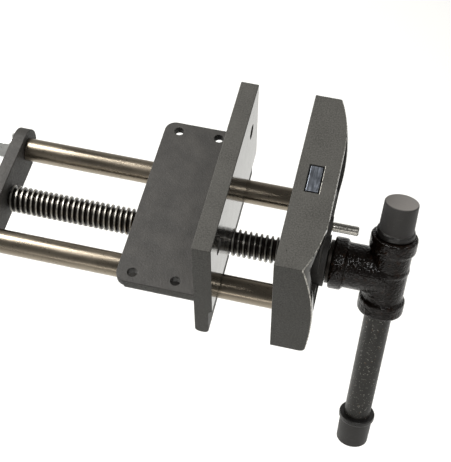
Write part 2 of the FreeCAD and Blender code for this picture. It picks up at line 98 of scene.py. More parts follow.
class VISE_PG_sizes(bpy.types.PropertyGroup):
    """Sizes of the detail that the finished pieces add."""
    casting_edge: FloatProperty(name="Casting edge", description="Width of the castings' broken edges",
                                default=0.7 * MM, min=0.0, unit="LENGTH")
    fitting_edge: FloatProperty(name="Fitting edge", description="Width of the turned pieces' broken edges",
                                default=0.3 * MM, min=0.0, unit="LENGTH")
    screw_pitch: FloatProperty(name="Screw pitch", description="Lead screw's advance for one turn",
                               default=5.08 * MM, min=1 * MM, unit="LENGTH")
    screw_depth: FloatProperty(name="Screw thread depth",
                               description="From the lead screw's crests to its roots",
                               default=2.9 * MM, min=0.0, unit="LENGTH")
    stud_pitch: FloatProperty(name="Stud pitch", description="Thread pitch of the rods' rear studs",
                              default=2.0 * MM, min=0.5 * MM, unit="LENGTH")
    knurl_pitch: FloatProperty(name="Knurl pitch", description="From one knurl point to the next",
                               default=1.5 * MM, min=0.5 * MM, unit="LENGTH")
    cast_voxel: FloatProperty(name="Tee grid", description="Grid on which the cast tee's corners are blended",
                              default=0.75 * MM, min=0.4 * MM, unit="LENGTH")
    round_steps: IntProperty(name="Round steps", description="Steps round a turned piece", default=96, min=24)


class VISE_PG_colours(bpy.types.PropertyGroup):
    """Colours of the finishes, linear."""
    iron: FloatVectorProperty(name="Ground iron", description="Flat ground faces of the castings",
                              default=linear("444340"), subtype="COLOR", min=0.0, max=1.0)
    # The cast skin's dark colour is also painted shade in the hollow and the underside that it lines.
    cast: FloatVectorProperty(name="Cast skin", description="Unmachined faces of the castings",
                              default=linear("2f2d2a"), subtype="COLOR", min=0.0, max=1.0)
    rod: FloatVectorProperty(name="Rod steel", description="Polished guide rods",
                             default=linear("948a7b"), subtype="COLOR", min=0.0, max=1.0)
    oxide: FloatVectorProperty(name="Black oxide", description="Lead screw's flanks and small black pieces",
                               default=linear("2a2622"), subtype="COLOR", min=0.0, max=1.0)
    tee: FloatVectorProperty(name="Tee black", description="Glossy black of the pipe tee",
                             default=linear("100a06"), subtype="COLOR", min=0.0, max=1.0)
    tube: FloatVectorProperty(name="Tube black", description="Satin black of the handle tube",
                              default=linear("302f2c"), subtype="COLOR", min=0.0, max=1.0)
    rubber: FloatVectorProperty(name="Cap rubber", description="Matt rubber of the handle's caps",
                                default=linear("2e2c2a"), subtype="COLOR", min=0.0, max=1.0)
    steel: FloatVectorProperty(name="Bright steel", description="Bare bright steel",
                               default=linear("c4c1b9"), subtype="COLOR", min=0.0, max=1.0)
    dog: FloatVectorProperty(name="Dog steel", description="Ground steel of the bench dog",
                             default=linear("9096a0"), subtype="COLOR", min=0.0, max=1.0)
    bronze: FloatVectorProperty(name="Bronze", description="Machined bronze of the nut",
                                default=linear("b98d4e"), subtype="COLOR", min=0.0, max=1.0)
    floor: FloatVectorProperty(name="Floor", description="Plain pale floor",
                               default=linear("f4f4f2"), subtype="COLOR", min=0.0, max=1.0)


# ---- materials ----

def add(tree, kind, inputs=None, **settings):
    """Adds a node, sets its properties, then sets or links its inputs."""
    made = tree.nodes.new(kind)
    for name, value in settings.items():
        setattr(made, name, value)
    for name, value in (inputs or {}).items():
        if isinstance(value, bpy.types.NodeSocket):
            tree.links.new(value, made.inputs[name])
        else:
            made.inputs[name].default_value = value
    return made


def new_material(name, metallic, roughness, **constants):
    """An empty procedural material: its tree, its shader and the Object coordinates."""
    material = bpy.data.materials.new(name)
    material.use_nodes = True
    tree = material.node_tree
    shader = tree.nodes["Principled BSDF"]
    shader.inputs["Metallic"].default_value = metallic
    shader.inputs["Roughness"].default_value = roughness
    for socket, value in constants.items():
        shader.inputs[socket.replace("_", " ")].default_value = value
    return material, tree, shader, add(tree, "ShaderNodeTexCoord").outputs["Object"]


def noise(tree, place, size, detail=2.0, stretch=(1, 1, 1), turn=(0, 0, 0)):
    """Noise whose blobs are about `size` metres across, longer along an axis with a stretch above 1."""
    scaled = add(tree, "ShaderNodeMapping", {"Vector": place, "Rotation": turn,
                                             "Scale": tuple(1 / (2 * size * s) for s in stretch)})
    return add(tree, "ShaderNodeTexNoise", {"Vector": scaled.outputs[0], "Scale": 1.0, "Detail": detail,
                                            "Roughness": 0.55}).outputs[0]


def spread(tree, value, low, high, to_low=0.0, to_high=1.0):
    """A value's range stretched to another one, and clipped there."""
    return add(tree, "ShaderNodeMapRange", {0: value, 1: low, 2: high, 3: to_low, 4: to_high}).outputs[0]


def blend(tree, share, first, second):
    """A mix of two colours."""
    ends = {6: first if isinstance(first, bpy.types.NodeSocket) else (*first, 1.0),
            7: second if isinstance(second, bpy.types.NodeSocket) else (*second, 1.0)}
    return add(tree, "ShaderNodeMix", {0: share, **ends}, data_type="RGBA").outputs[2]


def darker(colour, share):
    """A colour at a share of its brightness."""
    return tuple(min(1.0, c * share) for c in colour)


def raise_by(tree, shader, *layers):
    """Bumps the surface: each layer is (height value, its height in metres)."""
    normal = None
    for value, height in layers:
        bump = add(tree, "ShaderNodeBump", {"Height": value, "Distance": height, "Strength": 1.0})
        if normal:
            tree.links.new(normal, bump.inputs["Normal"])
        normal = bump.outputs[0]
    tree.links.new(normal, shader.inputs["Normal"])


def wire(tree, shader, **sockets):
    """Links values to the shader's sockets."""
    for name, value in sockets.items():
        tree.links.new(value, shader.inputs[name.replace("_", " ")])


def off_axis(tree, place, line):
    """Distance from a line along X."""
    moved = add(tree, "ShaderNodeVectorMath", {0: place, 1: tuple(line)}, operation="SUBTRACT")
    flat = add(tree, "ShaderNodeVectorMath", {0: moved.outputs[0], 1: (0, 1, 1)}, operation="MULTIPLY")
    return add(tree, "ShaderNodeVectorMath", {0: flat.outputs[0]}, operation="LENGTH").outputs[1]


def ground_iron(colours):
    """Grey cast iron, surface ground and blackened: satin, with a fine even grain and soft oil stains."""
    material, tree, shader, place = new_material("ground_grey_iron", 0.05, 0.5, Specular_IOR_Level=0.1)
    base = tuple(colours.iron)
    # The real grain is about 0.2 mm; it is drawn coarser, so that it shows.
    grain = noise(tree, place, 0.6 * MM, 4.0)
    cloud = noise(tree, place, 14 * MM, 4.0)
    lines = noise(tree, place, 0.6 * MM, 2.0, stretch=(1, 14, 1))
    stained = blend(tree, spread(tree, cloud, 0.35, 0.68), darker(base, 0.84), darker(base, 1.08))
    grained = blend(tree, spread(tree, grain, 0.4, 0.66, 0.0, 0.8), stained, darker(base, 1.7))
    pitted = spread(tree, noise(tree, place, 1.1 * MM, 1.0), 0.27, 0.22)
    wire(tree, shader, Base_Color=blend(tree, pitted, grained, darker(base, 0.3)),
         Roughness=spread(tree, cloud, 0.3, 0.7, 0.42, 0.58))
    raise_by(tree, shader, (grain, 0.04 * MM), (lines, 0.04 * MM))
    return material


def working_face(colours):
    """Working face of a jaw, ground smooth: near a mirror at a low angle, with a few small pits in it."""
    material, tree, shader, place = new_material("smooth_ground_face", 0.85, 0.14)
    base = tuple(colours.iron)
    cloud = noise(tree, place, 8 * MM, 3.0)
    pitted = spread(tree, noise(tree, place, 1.4 * MM, 2.0), 0.29, 0.26)
    cloudy = blend(tree, spread(tree, cloud, 0.3, 0.7), darker(base, 0.9), darker(base, 1.15))
    wire(tree, shader, Base_Color=blend(tree, pitted, cloudy, darker(base, 0.15)),
         Roughness=spread(tree, cloud, 0.3, 0.7, 0.1, 0.17))
    return material


def cast_skin_and_painted_shade(colours):
    """Grey iron as cast in sand, painted black: a coarse matt skin whose dark colour is also painted shade
    where it lines the front jaw's hollow and the rear jaw's underside.
    """
    material, tree, shader, place = new_material("sand_cast_iron_and_painted_shade", 0.1, 0.62)
    base = tuple(colours.cast)
    sand = noise(tree, place, 0.7 * MM, 3.0)
    cloud = noise(tree, place, 9 * MM, 3.0)
    wire(tree, shader,
         Base_Color=blend(tree, spread(tree, cloud, 0.3, 0.7), darker(base, 0.7), darker(base, 1.25)),
         Roughness=spread(tree, sand, 0.3, 0.7, 0.5, 0.75))
    raise_by(tree, shader, (sand, 0.22 * MM), (cloud, 0.4 * MM))
    return material


def worn_arris_and_highlight(colours):
    """Edge rubbed back to bare iron and painted bright, partly wear and partly a painted highlight of the
    light it catches, with the dark finish left in its scratches.
    """
    material, tree, shader, place = new_material("rubbed_edge_and_painted_highlight", 0.9, 0.36)
    wear = noise(tree, place, 1.2 * MM, 3.0)
    wire(tree, shader, Base_Color=blend(tree, spread(tree, wear, 0.36, 0.56), darker(colours.iron, 1.3),
                                        tuple(colours.steel)))
    return material


def rod_steel(colours):
    """Centreless ground and polished steel with a warm cast: faint rings round it and a few dull smears."""
    material, tree, shader, place = new_material("polished_rod_steel", 1.0, 0.2)
    base = tuple(colours.rod)
    rings = noise(tree, place, 0.3 * MM, 2.0, stretch=(1, 40, 40))
    smear = noise(tree, place, 6 * MM, 4.0, stretch=(4, 1, 1))
    fleck = spread(tree, noise(tree, place, 0.9 * MM, 2.0), 0.66, 0.72)
    warm = blend(tree, spread(tree, smear, 0.35, 0.7), darker(base, 0.86), darker(base, 1.08))
    wire(tree, shader, Base_Color=blend(tree, fleck, warm, darker(base, 0.45)),
         Roughness=spread(tree, smear, 0.3, 0.7, 0.22, 0.34))
    raise_by(tree, shader, (rings, 0.006 * MM))
    return material


def screw_steel(colours, line, crest_radius):
    """Black oxide steel thread, its crests burnished bright by the nut."""
    material, tree, shader, place = new_material("black_oxide_thread", 0.85, 0.36)
    base = tuple(colours.oxide)
    stain = noise(tree, place, 3 * MM, 3.0)
    radius = off_axis(tree, place, line)
    bright = spread(tree, radius, crest_radius - 0.75 * MM, crest_radius - 0.2 * MM)
    broken = add(tree, "ShaderNodeMath", {0: bright, 1: spread(tree, stain, 0.3, 0.52, 0.35, 1.0)},
                 operation="MULTIPLY").outputs[0]
    dark = blend(tree, stain, darker(base, 0.8), darker(base, 1.5))
    wire(tree, shader, Base_Color=blend(tree, broken, dark, darker(colours.steel, 0.8)),
         Roughness=spread(tree, stain, 0.3, 0.7, 0.26, 0.42))
    raise_by(tree, shader, (noise(tree, place, 0.3 * MM, 2.0), 0.02 * MM))
    return material


def black_steel(colours):
    """Small steel pieces in black oxide: dark, faintly brown, with an oily sheen."""
    material, tree, shader, place = new_material("black_oxide_steel", 0.7, 0.38)
    base = tuple(colours.oxide)
    stain = noise(tree, place, 2 * MM, 3.0)
    wire(tree, shader, Base_Color=blend(tree, stain, darker(base, 0.7), darker(base, 1.6)),
         Roughness=spread(tree, stain, 0.3, 0.7, 0.3, 0.46))
    raise_by(tree, shader, (noise(tree, place, 0.3 * MM, 2.0), 0.015 * MM))
    return material


def tee_iron(colours):
    """Malleable iron pipe fitting in glossy black: the orange-peel of the mould shows through the gloss."""
    material, tree, shader, place = new_material("black_malleable_iron", 0.0, 0.17, Specular_IOR_Level=0.3)
    base = tuple(colours.tee)
    peel = noise(tree, place, 1.1 * MM, 1.0)
    lump = noise(tree, place, 4.5 * MM, 2.0)
    rust = spread(tree, noise(tree, place, 2.2 * MM, 4.0), 0.55, 0.75)
    wire(tree, shader, Base_Color=blend(tree, rust, base, linear("2a1a10")),
         Roughness=spread(tree, lump, 0.3, 0.7, 0.16, 0.24))
    raise_by(tree, shader, (peel, 0.75 * MM), (lump, 0.7 * MM))
    return material


def tube_steel(colours):
    """Welded steel tube in thin satin black: even, with fine specks of dust and a little rust showing."""
    material, tree, shader, place = new_material("satin_black_tube", 0.25, 0.44)
    base = tuple(colours.tube)
    draw = noise(tree, place, 1.3 * MM, 4.0)
    cloud = noise(tree, place, 11 * MM, 3.0)
    rust = spread(tree, noise(tree, place, 1.6 * MM, 3.0), 0.655, 0.72)
    speck = spread(tree, noise(tree, place, 0.9 * MM, 1.0), 0.64, 0.7)
    worn = blend(tree, spread(tree, cloud, 0.35, 0.65), darker(base, 0.8), darker(base, 1.25))
    rusty = blend(tree, rust, worn, linear("5a4433"))
    wire(tree, shader, Base_Color=blend(tree, speck, rusty, linear("77766f")),
         Roughness=spread(tree, cloud, 0.3, 0.7, 0.36, 0.52))
    raise_by(tree, shader, (draw, 0.1 * MM))
    return material


def cap_rubber(colours):
    """Dipped vinyl rubber: matt and dusty, its faces turned up the handle painted lighter as dust and as
    painted light from above, with a soft grazing sheen.
    """
    material, tree, shader, place = new_material("matt_black_rubber", 0.0, 0.7, Sheen_Weight=0.25,
                                                 Sheen_Roughness=0.5)
    base = tuple(colours.rubber)
    grain = noise(tree, place, 0.9 * MM, 3.0)
    dust = noise(tree, place, 5 * MM, 4.0)
    facing = add(tree, "ShaderNodeTexCoord").outputs["Normal"]
    upward = add(tree, "ShaderNodeVectorMath", {0: facing, 1: tuple(HANDLE_DIR)},
                 operation="DOT_PRODUCT").outputs[1]
    # Faces turned up the handle are painted much lighter: partly dust, partly painted light from above.
    dust_and_top_light = spread(tree, upward, 0.8, 0.97, 0.0, 0.75)
    scuff = noise(tree, place, 0.5 * MM, 2.0, stretch=(7, 1, 1), turn=(0.3, 0.5, 0.7))
    dusty = blend(tree, spread(tree, dust, 0.35, 0.7), darker(base, 0.85), darker(base, 1.25))
    scuffed = blend(tree, spread(tree, scuff, 0.6, 0.75, 0.0, 0.5), dusty, darker(base, 2.2))
    wire(tree, shader, Base_Color=blend(tree, dust_and_top_light, scuffed, darker(base, 6.5)),
         Roughness=spread(tree, dust, 0.3, 0.7, 0.62, 0.8))
    raise_by(tree, shader, (grain, 0.08 * MM))
    return material


def lip_rubber(colours):
    """The caps' rolled lip, wiped clean of dust by the tee: the same rubber, black and half glossy."""
    material, tree, shader, place = new_material("wiped_black_rubber", 0.0, 0.34)
    base = darker(colours.rubber, 0.55)
    grain = noise(tree, place, 1.2 * MM, 3.0)
    wire(tree, shader, Base_Color=blend(tree, grain, darker(base, 0.8), darker(base, 1.3)),
         Roughness=spread(tree, grain, 0.3, 0.7, 0.26, 0.44))
    raise_by(tree, shader, (grain, 0.25 * MM))
    return material


def bright_steel(colours):
    """Bare steel, turned or knurled, left bright."""
    material, tree, shader, place = new_material("bright_turned_steel", 1.0, 0.24)
    base = tuple(colours.steel)
    stain = noise(tree, place, 1.5 * MM, 3.0)
    wire(tree, shader, Base_Color=blend(tree, spread(tree, stain, 0.3, 0.7), darker(base, 0.72), base),
         Roughness=spread(tree, stain, 0.3, 0.7, 0.18, 0.34))
    raise_by(tree, shader, (noise(tree, place, 0.25 * MM, 2.0), 0.008 * MM))
    return material


def dog_steel(colours):
    """Surface ground steel: straight grinding lines, a little blue from the sky of the room."""
    material, tree, shader, place = new_material("ground_dog_steel", 1.0, 0.32)
    base = tuple(colours.dog)
    lines = noise(tree, place, 0.7 * MM, 3.0, stretch=(1, 12, 12), turn=(0, 0, 0.5))
    cloud = noise(tree, place, 4 * MM, 3.0)
    wire(tree, shader,
         Base_Color=blend(tree, spread(tree, lines, 0.35, 0.65), darker(base, 0.6), darker(base, 1.5)),
         Roughness=spread(tree, cloud, 0.3, 0.7, 0.26, 0.4))
    raise_by(tree, shader, (lines, 0.02 * MM))
    return material


def zinc_steel(colours):
    """Zinc plated steel: pale, slightly milky, with a soft gloss."""
    material, tree, shader, place = new_material("zinc_plated_steel", 1.0, 0.33)
    cloud = noise(tree, place, 1.8 * MM, 3.0)
    wire(tree, shader, Base_Color=blend(tree, cloud, linear("a9aaa8"), linear("d7d8d6")),
         Roughness=spread(tree, cloud, 0.3, 0.7, 0.26, 0.42))
    raise_by(tree, shader, (cloud, 0.01 * MM))
    return material


def bronze(colours):
    """Cast bronze, machined all over: turning rings and a brown tarnish."""
    material, tree, shader, place = new_material("machined_bronze", 1.0, 0.32)
    base = tuple(colours.bronze)
    tarnish = noise(tree, place, 3 * MM, 4.0)
    rings = noise(tree, place, 0.3 * MM, 1.0, stretch=(1, 30, 30))
    wire(tree, shader, Base_Color=blend(tree, spread(tree, tarnish, 0.35, 0.65), darker(base, 0.6), base),
         Roughness=spread(tree, tarnish, 0.3, 0.7, 0.42, 0.26))
    raise_by(tree, shader, (rings, 0.01 * MM))
    return material


def bush_nylon(colours):
    """Machined black nylon: matt with a waxy edge."""
    material, tree, shader, place = new_material("black_nylon", 0.0, 0.5)
    base = darker(colours.rubber, 0.9)
    grain = noise(tree, place, 0.5 * MM, 2.0)
    wire(tree, shader, Base_Color=blend(tree, grain, darker(base, 0.8), darker(base, 1.3)),
         Roughness=spread(tree, grain, 0.3, 0.7, 0.42, 0.58))
    raise_by(tree, shader, (grain, 0.02 * MM))
    return material


def matt_floor(colours):
    """Plain pale paper sweep, lit from below as well."""
    base = tuple(colours.floor)
    material, tree, shader, place = new_material("pale_paper_floor", 0.0, 0.9, Emission_Color=(*base, 1.0),
                                                 Emission_Strength=0.22)
    wire(tree, shader, Base_Color=blend(tree, noise(tree, place, 0.4, 1.0), darker(base, 0.995), base))
    return material


def finish_named(name):
    """A finish, made the first time that it is asked for."""
    made = bpy.data.materials.get(MADE.get(name, ""))
    if made is None:
        colours = bpy.context.scene.vise_colours
        if name == "screw":
            made = screw_steel(colours, SCREW_LINE, half_height("lead_screw"))
        else:
            made = FINISHES[name](colours)
        MADE[name] = made.name
    return made


FINISHES = {"iron": ground_iron, "face": working_face, "cast": cast_skin_and_painted_shade, "arris": worn_arris_and_highlight,
            "rod": rod_steel, "black": black_steel, "tee": tee_iron, "tube": tube_steel,
            "rubber": cap_rubber, "lip": lip_rubber, "bright": bright_steel, "dog": dog_steel,
            "zinc": zinc_steel,
            "bronze": bronze, "nylon": bush_nylon, "floor": matt_floor}
MADE = {}


# ---- shapes ----

def merged_copy(node):
    """A bmesh of a CAD node with its loose triangles joined and its flat faces whole."""
    bm = bmesh.new()
    bm.from_mesh(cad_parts[node].data)
    bmesh.ops.remove_doubles(bm, verts=bm.verts, dist=0.002 * MM)
    bmesh.ops.dissolve_limit(bm, angle_limit=math.radians(0.2), verts=bm.verts, edges=bm.edges)
    return bm


def break_edges(bm, width, segments=2, sharper_than=28.0):
    """Rounds the edges that turn by more than an angle, and returns the new narrow faces."""
    turn = math.radians(sharper_than)
    edges = [e for e in bm.edges if len(e.link_faces) == 2 and e.calc_face_angle() > turn]
    made = bmesh.ops.bevel(bm, geom=edges, offset=width, offset_type="OFFSET", segments=segments, profile=0.5,
                           affect="EDGES", clamp_overlap=False, material=-1)
    return made["faces"]


def lathe(bm, outline, base, axis, steps):
    """A closed shell spun round an axis from (distance along it, radius) points; returns its new faces."""
    before = set(bm.faces)
    side = axis.orthogonal().normalized()
    verts = [bm.verts.new(base + axis * along + side * radius) for along, radius in outline]
    edges = [bm.edges.new(pair) for pair in zip(verts, verts[1:])]
    bmesh.ops.spin(bm, geom=verts + edges, cent=base, axis=axis, dvec=(0, 0, 0), angle=math.tau, steps=steps,
                   use_merge=True, use_duplicate=False)
    bmesh.ops.remove_doubles(bm, verts=bm.verts, dist=0.002 * MM)
    faces = [f for f in bm.faces if f not in before]
    bmesh.ops.recalc_face_normals(bm, faces=faces)
    return faces


def rounded(outline, radius, corners, steps=4):
    """An outline with the corners at some places in it rounded by arcs."""
    points = []
    for i, point in enumerate(outline):
        here = Vector(point)
        if i not in corners:
            points.append(here)
            continue
        back = (Vector(outline[i - 1]) - here).normalized()
        ahead = (Vector(outline[i + 1]) - here).normalized()
        for step in range(steps + 1):
            t = step / steps
            points.append(here + back * radius * (1 - t) ** 2 + ahead * radius * t ** 2)
    return [tuple(p) for p in points]


def thread(bm, line, x0, x1, crest, root, pitch, steps, crest_share=0.37, flank=0.13):
    """A helical thread along X between two planes: one pitch of its profile, spun, then cut square."""
    before = set(bm.faces)
    land = (1 - crest_share - 2 * flank) / 2
    soft, drop = crest_share * 0.2, (crest - root) * 0.16
    profile = [(0, root), (land, root), (land + flank, crest - drop), (land + flank + soft, crest),
               (1 - land - flank - soft, crest), (1 - land - flank, crest - drop),
               (1 - land, root), (1, root)]
    start = x0 - 1.5 * pitch
    verts = [bm.verts.new(line + Vector((start + along * pitch, radius, 0))) for along, radius in profile]
    edges = [bm.edges.new(pair) for pair in zip(verts, verts[1:])]
    bmesh.ops.spin(bm, geom=verts + edges, cent=line, axis=X_AXIS, dvec=(pitch / steps, 0, 0), angle=math.tau,
                   steps=steps, use_merge=False, use_duplicate=False)
    turn = [f for f in bm.faces if f not in before]
    turn += list({e for f in turn for e in f.edges}) + list({v for f in turn for v in f.verts})
    for number in range(1, math.ceil((x1 - x0) / pitch) + 3):
        copy = bmesh.ops.duplicate(bm, geom=turn)["geom"]
        moved = [item for item in copy if isinstance(item, bmesh.types.BMVert)]
        bmesh.ops.translate(bm, verts=moved, vec=(number * pitch, 0, 0))
    new = [f for f in bm.faces if f not in before]
    bmesh.ops.remove_doubles(bm, verts=list({v for f in new for v in f.verts}), dist=0.01 * MM)
    for x, outward in ((x0, -1), (x1, 1)):
        new = [f for f in bm.faces if f not in before]
        around = list({v for f in new for v in f.verts}) + list({e for f in new for e in f.edges}) + new
        bmesh.ops.bisect_plane(bm, geom=around, dist=0.001 * MM, plane_co=(x, 0, 0), plane_no=(outward, 0, 0),
                               clear_outer=True)
    new = [f for f in bm.faces if f not in before]
    rims = list({e for f in new for e in f.edges if e.is_boundary})
    bmesh.ops.holes_fill(bm, edges=rims, sides=0)
    new = [f for f in bm.faces if f not in before]
    bmesh.ops.recalc_face_normals(bm, faces=new)


def finish_piece(name, bm, body, stands_for, slot, finishes, sharp=40.0):
    """Makes an object of a bmesh and says what it rides on, stands for and is finished in."""
    mesh = bpy.data.meshes.new(name)
    bm.to_mesh(mesh)
    bm.free()
    mesh.polygons.foreach_set("use_smooth", [True] * len(mesh.polygons))
    mesh.set_sharp_from_angle(angle=math.radians(sharp))
    piece = bpy.data.objects.new(name, mesh)
    bpy.context.collection.objects.link(piece)
    for finish in finishes:
        mesh.materials.append(finish_named(finish))
    even = piece.modifiers.new("Even shading", "WEIGHTED_NORMAL")
    even.weight = 90
    even.keep_sharp = True
    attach(piece, body)
    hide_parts(*stands_for)
    return piece


def eased(node, body, slot, finishes, width, name=None):
    """A CAD node's own shape with its edges broken, as a finished piece."""
    bm = merged_copy(node)
    break_edges(bm, width)
    return finish_piece(name or node + "_finished", bm, body, [node], slot, finishes)


def repaint(node, finish):
    """Gives a CAD node that keeps its own mesh a finish."""
    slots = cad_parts[node].material_slots
    for slot in slots:
        slot.material = finish_named(finish)


def check(piece):
    """Stops the script if a piece came out empty."""
    if not piece.data.polygons:
        raise RuntimeError(f"{piece.name} has no faces")


# ---- operators, one for each piece or group of like pieces ----

class VISE_OT_rear_jaw(bpy.types.Operator):
    """Rear jaw with its bracket: ground faces outside, cast skin under the bench whose dark colour is also
    painted shade
    """
    bl_idname = "vise.rear_jaw"
    bl_label = "Rear Jaw"

    def execute(self, context):
        bm = merged_copy("rear_jaw")
        break_edges(bm, context.scene.vise_sizes.casting_edge)
        back_x, face_x = -0.5 * MM, along_x("rear_jaw")[1] - 0.01 * MM
        # Faces behind the jaw, under the bench, take the dark cast skin, which is also painted shade there.
        for face in bm.faces:
            spot = face.calc_center_median()
            if spot.x < back_x:
                face.material_index = 1
            elif spot.x > face_x:
                face.material_index = 2
        finishes = ["iron", "cast", "face"]
        check(finish_piece("rear_jaw_casting", bm, "rear_frame", ["rear_jaw"], "jaw_iron", finishes))
        return {"FINISHED"}


class VISE_OT_front_jaw(bpy.types.Operator):
    """Front jaw: ground outside, cast skin in its hollow whose dark colour is also painted shade, and a
    rubbed edge round its front that is also a painted highlight
    """
    bl_idname = "vise.front_jaw"
    bl_label = "Front Jaw"

    def execute(self, context):
        bm = merged_copy("front_jaw")
        plain = set(bm.faces)
        low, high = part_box("front_jaw")
        inside_y, inside_top, inside_x = high.y - 6.9 * MM, -7.9 * MM, low.x + 10.9 * MM
        # Faces in the hollow take the dark cast skin, which is also painted shade there.
        for face in plain:
            spot = face.calc_center_median()
            if spot.x > inside_x and abs(spot.y) < inside_y and spot.z < inside_top:
                face.material_index = 1
        new = break_edges(bm, context.scene.vise_sizes.casting_edge)
        # The broken edges along the top and the sides of the front are painted bright: worn bare, and also a
        # painted highlight of the light that they catch.
        for face in new:
            spot = face.calc_center_median()
            outer = abs(spot.y) > high.y - 1.2 * MM or spot.z > -1.2 * MM
            if outer and spot.x > low.x + 20 * MM:
                face.material_index = 2
        for face in bm.faces:
            spot = face.calc_center_median()
            working = face.normal.x < -0.9 and spot.x < low.x + 2.5 * MM
            rim = face.normal.x > 0.7 and spot.x > low.x + 20 * MM and face.material_index == 0
            if working or rim:
                face.material_index = 3
        finishes = ["iron", "cast", "arris", "face"]
        check(finish_piece("front_jaw_casting", bm, CARRIAGE, ["front_jaw"], "jaw_iron", finishes))
        return {"FINISHED"}


class VISE_OT_guide_rods(bpy.types.Operator):
    """Two polished guide rods with threaded studs at their rear ends"""
    bl_idname = "vise.guide_rods"
    bl_label = "Guide Rods"

    def execute(self, context):
        sizes = context.scene.vise_sizes
        for node in ("guide_rod_near", "guide_rod_far"):
            low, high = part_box(node)
            line = Vector((0, middle(node).y, middle(node).z))
            radius = half_height(node)
            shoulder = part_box("rear_tie_bar")[1].x
            stud, ease = STUD_RADIUS, 1.0 * MM
            bm = bmesh.new()
            outline = [(shoulder, 0), (shoulder, radius - ease), (shoulder + ease, radius),
                       (high.x - ease, radius), (high.x, radius - ease), (high.x, 0)]
            lathe(bm, outline, line, X_AXIS, sizes.round_steps)
            thread(bm, line, low.x, shoulder + 0.5 * MM, stud, stud - 1.1 * MM, sizes.stud_pitch, 32,
                   crest_share=0.14, flank=0.38)
            piece = finish_piece(node + "_turned", bm, CARRIAGE, [node], "rod_steel", ["rod"])
            check(piece)
        return {"FINISHED"}


class VISE_OT_lead_screw(bpy.types.Operator):
    """Lead screw: a true helical thread, a plain shank through the front jaw, and a turned tail"""
    bl_idname = "vise.lead_screw"
    bl_label = "Lead Screw"

    def execute(self, context):
        sizes = context.scene.vise_sizes
        low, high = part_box("lead_screw")
        crest = half_height("lead_screw")
        thread_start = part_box("rear_tie_bar")[1].x + 2 * MM
        thread_end = along_x("thrust_collar")[0] - 0.2 * MM
        shank, tail = SHANK_RADIUS, STUD_RADIUS
        root = crest - sizes.screw_depth
        bm = bmesh.new()
        thread(bm, SCREW_LINE, thread_start, thread_end, crest, root, sizes.screw_pitch, 48)
        lathe(bm, [(thread_end - 0.5 * MM, 0), (thread_end - 0.5 * MM, shank), (high.x - MM, shank),
                   (high.x, shank - MM), (high.x, 0)], SCREW_LINE, X_AXIS, sizes.round_steps)
        lathe(bm, [(low.x, 0), (low.x, tail - MM), (low.x + MM, tail), (thread_start + 0.5 * MM, tail),
                   (thread_start + 0.5 * MM, 0)], SCREW_LINE, X_AXIS, sizes.round_steps)
        piece = finish_piece("lead_screw_threaded", bm, "screw", ["lead_screw"], "screw_steel", ["screw"])
        check(piece)
        return {"FINISHED"}


class VISE_OT_tee(bpy.types.Operator):
    """Cast pipe tee: the run and the branch flow into each other, and the beads are soft at their edges"""
    bl_idname = "vise.tee"
    bl_label = "Pipe Tee"

    def execute(self, context):
        sizes = context.scene.vise_sizes
        bm = merged_copy("tee_hub")
        rough = bpy.data.meshes.new("tee_rough")
        bm.to_mesh(rough)
        bm.free()
        helper = bpy.data.objects.new("tee_rough", rough)
        context.collection.objects.link(helper)
        grid = helper.modifiers.new("Grid", "REMESH")
        grid.mode = "VOXEL"
        grid.voxel_size = sizes.cast_voxel
        evaluated = helper.evaluated_get(context.evaluated_depsgraph_get())
        gridded = bpy.data.meshes.new_from_object(evaluated)
        bm = bmesh.new()
        bm.from_mesh(gridded)
        for mesh, owner in ((rough, helper), (gridded, None)):
            if owner:
                bpy.data.objects.remove(owner)
            bpy.data.meshes.remove(mesh)
        for _ in range(5):
            bmesh.ops.smooth_vert(bm, verts=bm.verts, factor=0.5,
                                  use_axis_x=True, use_axis_y=True, use_axis_z=True)
        piece = finish_piece("tee_casting", bm, "screw", ["tee_hub"], "tee_iron", ["tee"], sharp=180.0)
        check(piece)
        return {"FINISHED"}


class VISE_OT_handle(bpy.types.Operator):
    """Sliding handle: the tube and its two dipped rubber caps"""
    bl_idname = "vise.handle"
    bl_label = "Handle"

    def execute(self, context):
        sizes = context.scene.vise_sizes
        steps = sizes.round_steps
        reach = {}
        for node in ("upper_handle_cap", "lower_handle_cap"):
            tips = [(v.co - TEE_CENTRE).dot(HANDLE_DIR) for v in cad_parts[node].data.vertices]
            side = 1 if node.startswith("upper") else -1
            mouth, end = (min(tips), max(tips)) if side > 0 else (max(tips), min(tips))
            reach[node] = end
            length = abs(end - mouth)
            lip, wall, tip, tube = 17.4 * MM, 15.8 * MM, 15.3 * MM, TUBE_RADIUS + 0.03 * MM
            inner_end = length - 3.5 * MM
            outline = [(inner_end, 0), (inner_end, tube), (0, tube), (0, lip), (5.6 * MM, lip),
                       (6.4 * MM, wall), (length, tip), (length, 0)]
            outline = rounded(outline, 1.5 * MM, (3, 4))
            outline = rounded(outline, 1.6 * MM, (len(outline) - 2,))
            bm = bmesh.new()
            base = TEE_CENTRE + HANDLE_DIR * mouth
            for face in lathe(bm, outline, base, HANDLE_DIR * side, steps):
                if abs((face.calc_center_median() - base).dot(HANDLE_DIR)) < 6.3 * MM:
                    face.material_index = 1
            check(finish_piece(node + "_dipped", bm, "handle", [node], "cap_rubber", ["rubber", "lip"]))
        bore, wall = TUBE_BORE, TUBE_RADIUS
        first, last = reach["lower_handle_cap"] + 3.6 * MM, reach["upper_handle_cap"] - 3.6 * MM
        outline = [(first, bore), (first, wall), (last, wall), (last, bore), (first, bore)]
        bm = bmesh.new()
        lathe(bm, outline, TEE_CENTRE, HANDLE_DIR, steps)
        check(finish_piece("handle_tube", bm, "handle", ["handle_bar"], "tube_steel", ["tube"]))
        return {"FINISHED"}


